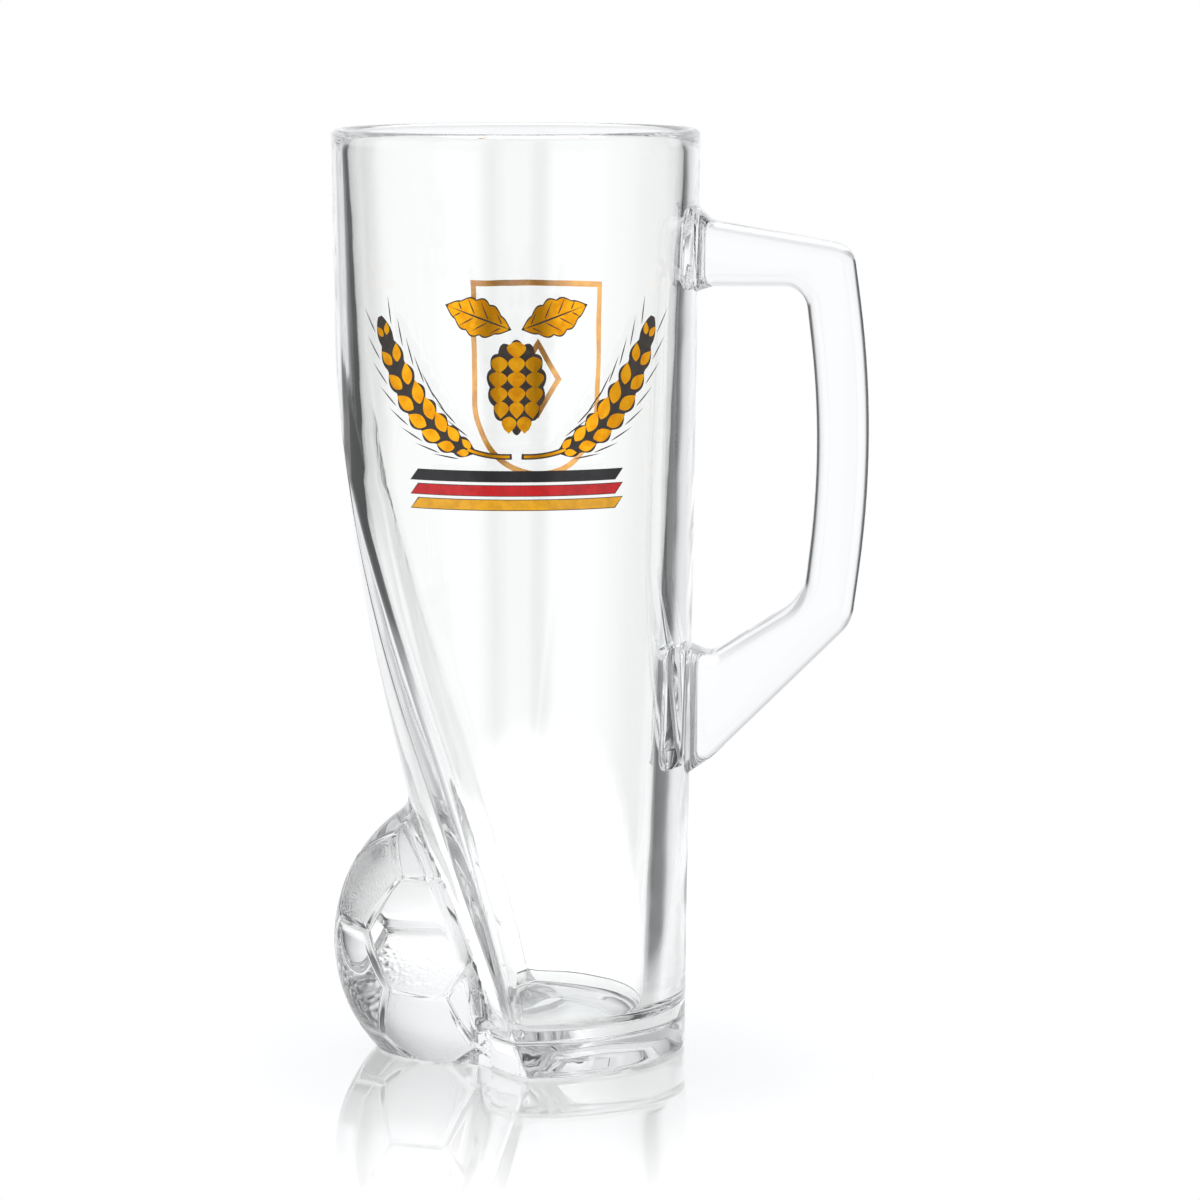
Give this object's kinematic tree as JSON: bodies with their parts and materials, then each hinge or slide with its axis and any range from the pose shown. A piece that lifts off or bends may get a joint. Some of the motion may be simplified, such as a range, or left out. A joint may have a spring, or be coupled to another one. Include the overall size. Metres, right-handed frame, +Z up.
{
  "type": "beer mug",
  "caption": "Tall pressed-glass beer mug with an angular handle; one side sweeps in over a glass football at the foot; fired gold print.",
  "frame": {"origin": "on the axis of the rim, at the level of the table", "axes": "+Z up, +X towards the handle, -X towards the football, -Y towards the front print"},
  "size_m": [0.1163, 0.0794, 0.2],
  "materials": {
    "clear_glass": "polished",
    "fired_gold": "polished",
    "black_enamel": "gloss",
    "red_enamel": "gloss",
    "yellow_enamel": "gloss"
  },
  "bodies": {
    "root": {"glass_body": "clear_glass", "foot": "clear_glass", "football": "clear_glass", "handle": "clear_glass", "ear_left": "fired_gold", "ear_right": "fired_gold", "hop_cone": "fired_gold", "leaf_left": "fired_gold", "leaf_right": "fired_gold", "stripe_black": "black_enamel", "stripe_red": "red_enamel", "stripe_gold": "yellow_enamel", "back_shield": "fired_gold", "back_lozenge": "fired_gold"}
  },
  "joints": []
}
